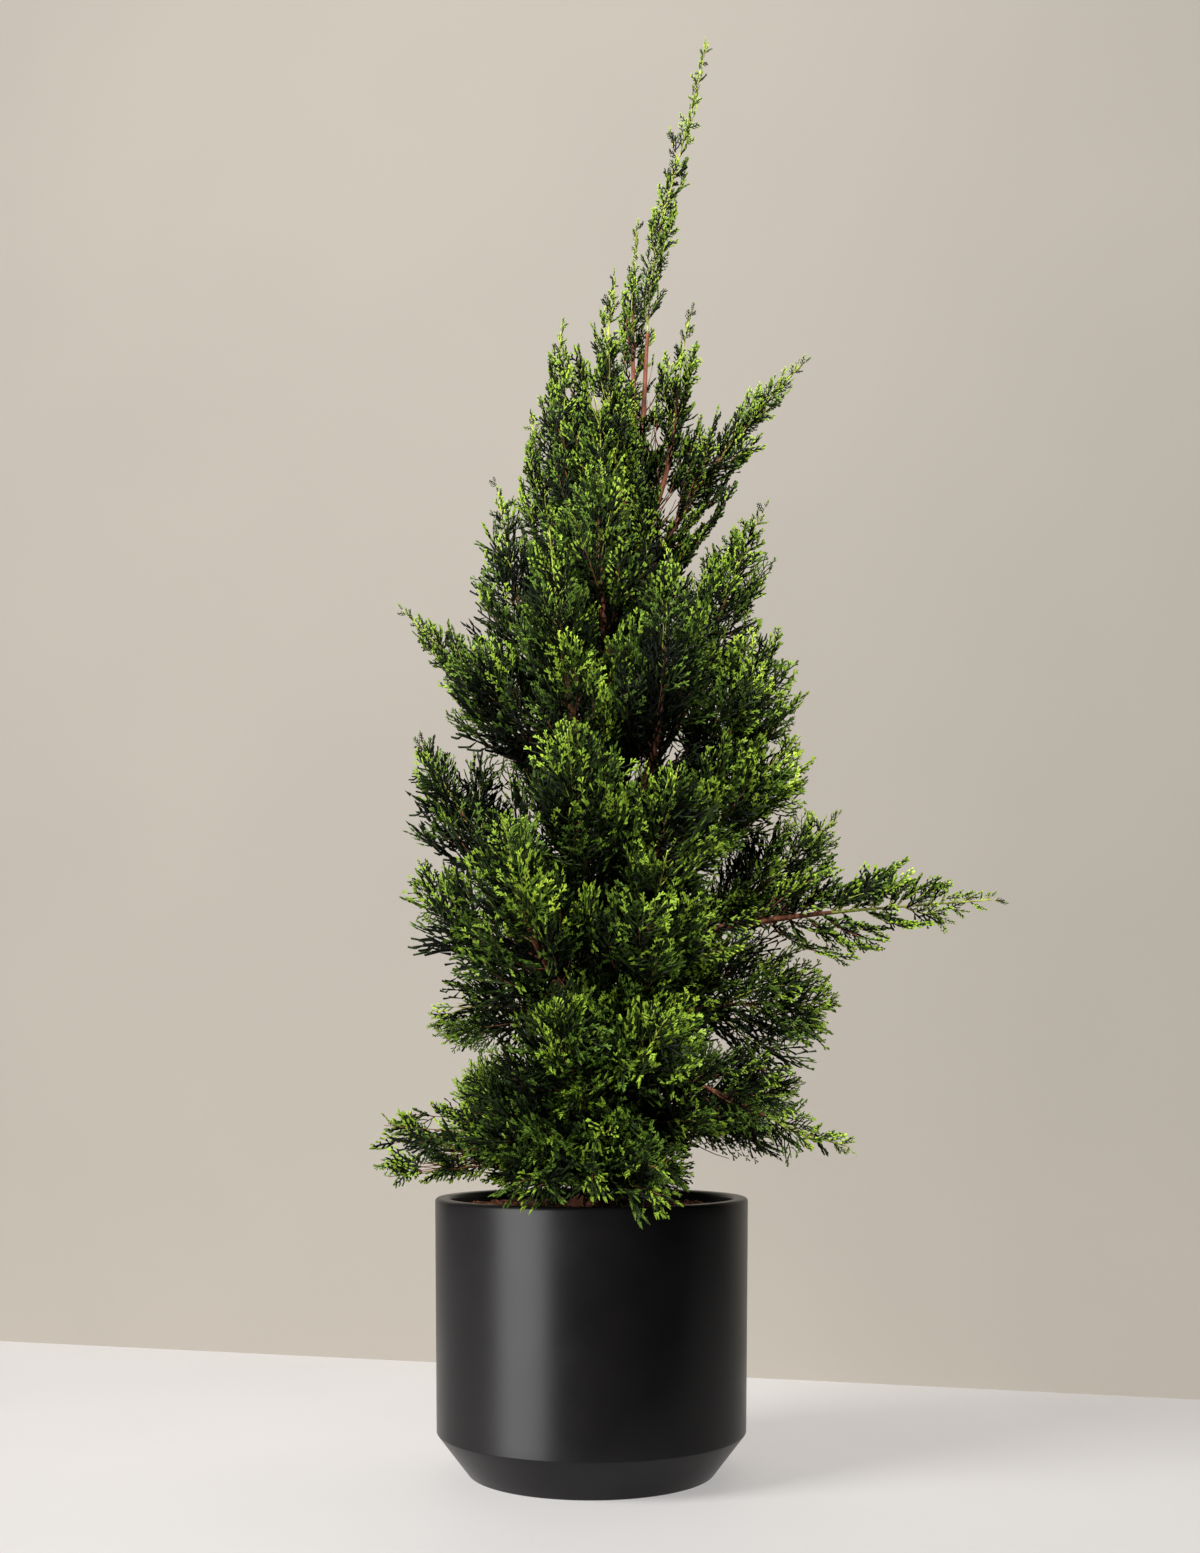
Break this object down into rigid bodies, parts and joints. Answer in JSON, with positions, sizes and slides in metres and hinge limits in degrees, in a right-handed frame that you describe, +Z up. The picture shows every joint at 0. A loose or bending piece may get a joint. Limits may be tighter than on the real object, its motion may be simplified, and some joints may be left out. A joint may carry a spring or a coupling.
{
  "type": "potted hollywood juniper",
  "caption": "Upright, wind-swept juniper with plumes of fine green foliage and a long side limb, planted in a round black planter with a sloping foot.",
  "frame": {"origin": "middle of the planter's flat underside, on the ground it stands on", "axes": "+Z up along the planter's axis, +X to the plant's right as the picture shows it (the side of the long limb), -Y to the front"},
  "size_m": [0.5969, 0.3827, 1.453],
  "materials": {
    "pot": "smooth satin black, softly rounded rim",
    "soil": "rough bark chips over soil",
    "bark": "reddish brown, finely ridged bark",
    "foliage": "dense scale-leaved sprays, dark green inside and bright yellow-green at the tips"
  },
  "bodies": {
    "root": {"planter": "pot", "soil": "soil", "trunk": "bark", "foliage_leader": "foliage", "foliage_spire_tall": "foliage", "foliage_spire_gold": "foliage", "foliage_crest_left": "foliage", "foliage_crest_right": "foliage", "foliage_shoulder_left": "foliage", "bough_flank_left": "bark", "foliage_flank_left": "foliage", "foliage_elbow_left": "foliage", "bough_arm_left": "bark", "foliage_arm_left": "foliage", "bough_side_left": "bark", "foliage_side_left": "foliage", "bough_low_left": "bark", "foliage_low_left": "foliage", "foliage_droop_left": "foliage", "foliage_hem_left": "foliage", "bough_rim_left": "bark", "foliage_rim_left": "foliage", "bough_arm_right": "bark", "foliage_arm_right": "foliage", "bough_flank_right": "bark", "foliage_flank_right": "foliage", "bough_shoulder_right": "bark", "foliage_shoulder_right": "foliage", "bough_side_right": "bark", "foliage_side_right": "foliage", "bough_wing_right": "bark", "foliage_wing_right": "foliage", "bough_reach_right": "bark", "foliage_reach_right": "foliage", "bough_low_right": "bark", "foliage_low_right": "foliage", "foliage_hem_right": "foliage", "bough_rim_right": "bark", "foliage_rim_right": "foliage", "bough_front_column": "bark", "foliage_front_column": "foliage", "bough_front_fan": "bark", "foliage_front_fan": "foliage", "bough_front_flame": "bark", "foliage_front_flame": "foliage", "foliage_breast_left": "foliage", "foliage_breast_right": "foliage", "foliage_belly_left": "foliage", "foliage_belly_right": "foliage", "foliage_skirt_left": "foliage", "foliage_skirt_right": "foliage", "foliage_rim_front": "foliage", "foliage_back_1": "foliage", "foliage_back_2": "foliage", "foliage_back_3": "foliage", "foliage_back_4": "foliage", "foliage_back_5": "foliage", "foliage_back_6": "foliage", "foliage_back_7": "foliage", "foliage_back_8": "foliage"}
  },
  "joints": []
}
